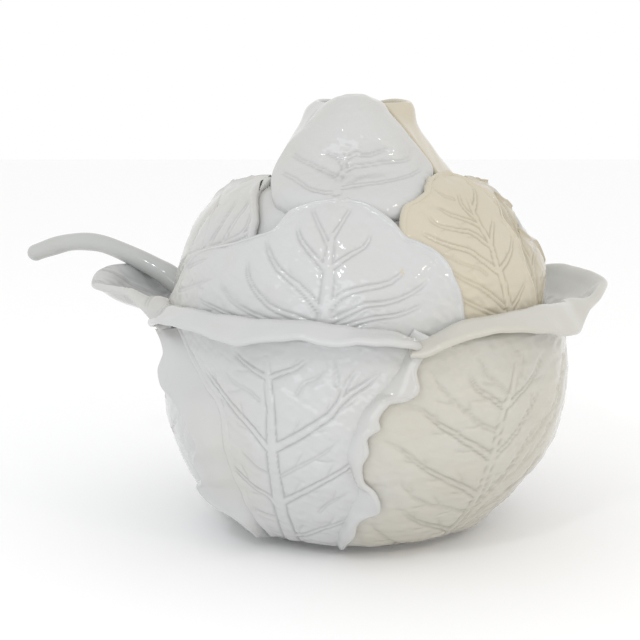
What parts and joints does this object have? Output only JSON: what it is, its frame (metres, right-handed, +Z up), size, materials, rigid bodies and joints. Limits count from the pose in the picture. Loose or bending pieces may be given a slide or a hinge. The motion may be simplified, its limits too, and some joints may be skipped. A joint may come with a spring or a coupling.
{
  "type": "soup tureen",
  "caption": "White glazed cabbage-leaf soup tureen: footed bowl with a rolled leaf rim, domed lid with a leaf finial, and a ladle whose handle leaves between lid and rim.",
  "frame": {"origin": "centre of the foot ring, on the table", "axes": "+Z up; +X towards the short rim tip, so the ladle's handle leaves on the -X side; -Y is the front"},
  "size_m": [0.3662, 0.2661, 0.2553],
  "materials": {
    "white_glaze": "glossy white glaze over moulded earthenware",
    "ladle_glaze": "glossy white glaze, slightly greyer"
  },
  "bodies": {
    "bowl": {"bowl": "white_glaze"},
    "ladle": {"ladle": "ladle_glaze"},
    "lid": {"lid": "white_glaze"}
  },
  "joints": [
    {"name": "ladle_lift", "type": "slide", "parent": "bowl", "child": "ladle", "axis": [0, 0, 1], "range_m": [0, 0.2]},
    {"name": "lid_lift", "type": "slide", "parent": "ladle", "child": "lid", "axis": [0, 0, 1], "range_m": [0, 0.22]}
  ]
}
